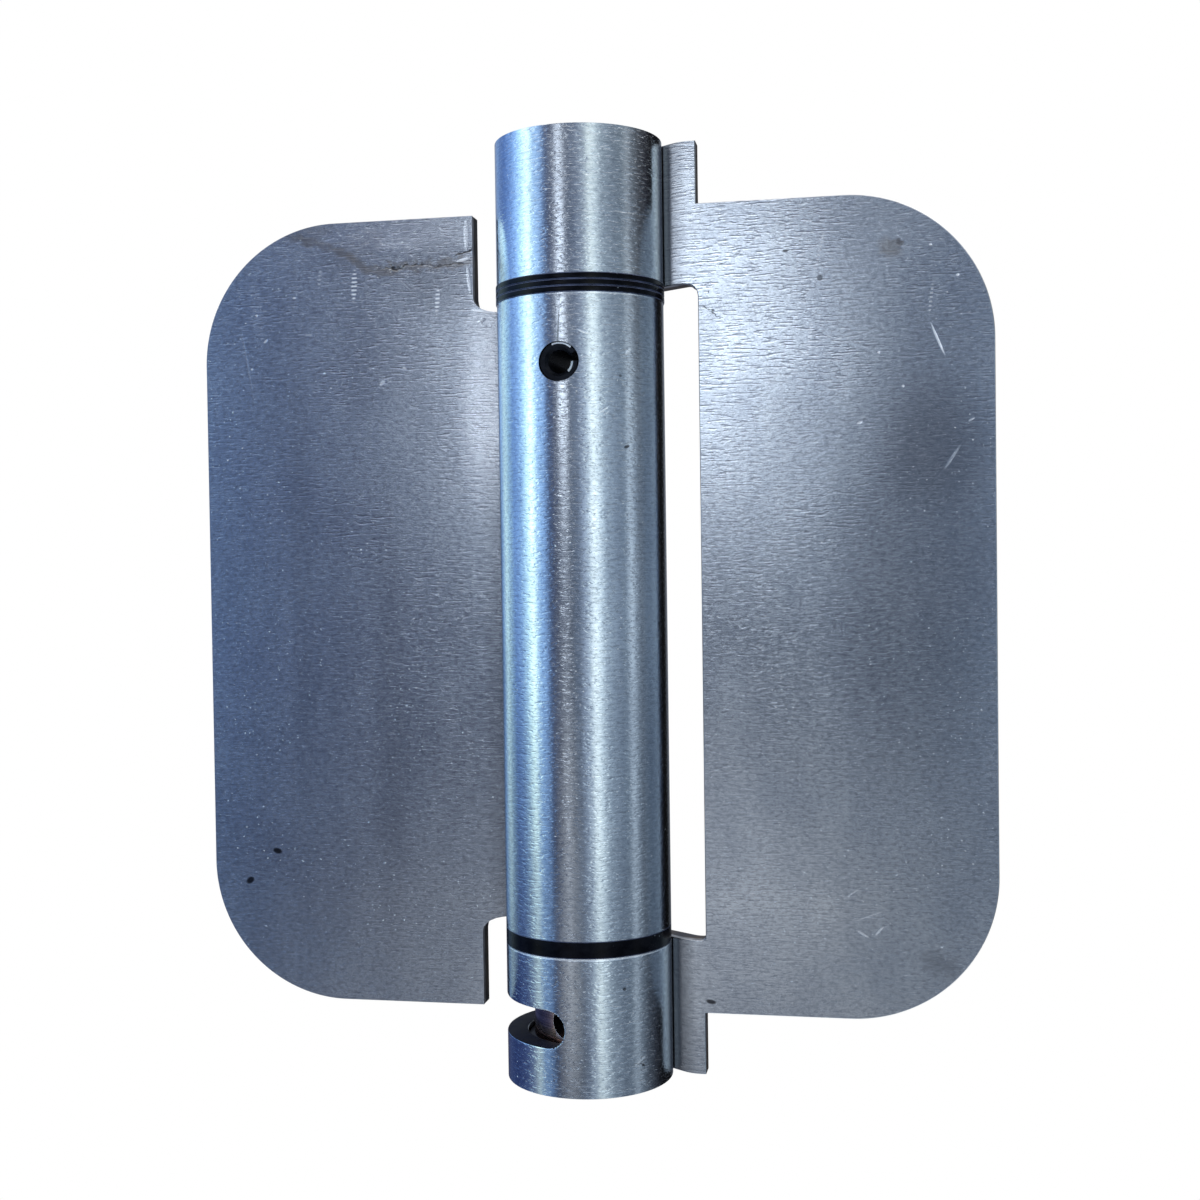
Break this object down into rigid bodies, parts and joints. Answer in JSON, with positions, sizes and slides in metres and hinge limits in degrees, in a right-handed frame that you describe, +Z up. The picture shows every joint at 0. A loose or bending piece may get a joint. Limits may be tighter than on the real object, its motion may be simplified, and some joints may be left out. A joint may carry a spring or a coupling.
{
  "type": "spring loaded door hinge",
  "caption": "Self-closing butt hinge for a door: two round-cornered steel leaves on a long barrel that holds a torsion spring, wound through a slot.",
  "frame": {"origin": "on the pin's axis at half the barrel's height, which is also half the leaves' height", "axes": "+Z up along the pin, towards the knuckle above the thin washers; +Y towards the faces fixed to the door and its frame; +X towards the frame leaf; the leaves lie open and flat at rest"},
  "size_m": [0.1016, 0.0212, 0.1172],
  "materials": {
    "leaf_steel": "satin, brushed across the leaves",
    "plug_steel": "turned",
    "pin_black": "black oxide",
    "spring_steel": "oiled spring wire",
    "bush_brass": "plain bearing",
    "washer_black": "smooth black"
  },
  "bodies": {
    "frame": {"frame_leaf": "leaf_steel", "top_plug": "plug_steel", "spindle": "plug_steel", "bottom_cap": "plug_steel", "upper_washer_top": "washer_black", "upper_washer_middle": "washer_black", "upper_washer_bottom": "washer_black", "lower_washer": "washer_black"},
    "door": {"door_leaf": "leaf_steel", "anchor_plug": "plug_steel", "spindle_bush": "bush_brass", "roll_pin": "pin_black", "torsion_spring": "spring_steel"},
    "tension": {"tension_plug": "plug_steel"}
  },
  "joints": [
    {"name": "door_swing", "type": "hinge", "parent": "frame", "child": "door", "pos_m": [0, 0, 0], "axis": [0, 0, 1], "range_deg": [-150, 180]},
    {"name": "tension_turn", "type": "hinge", "parent": "door", "child": "tension", "pos_m": [0, 0, 0], "axis": [0, 0, 1], "range_deg": [0, 270], "stiffness_Nm_per_rad": 0.85, "deforming": ["torsion_spring"]}
  ]
}
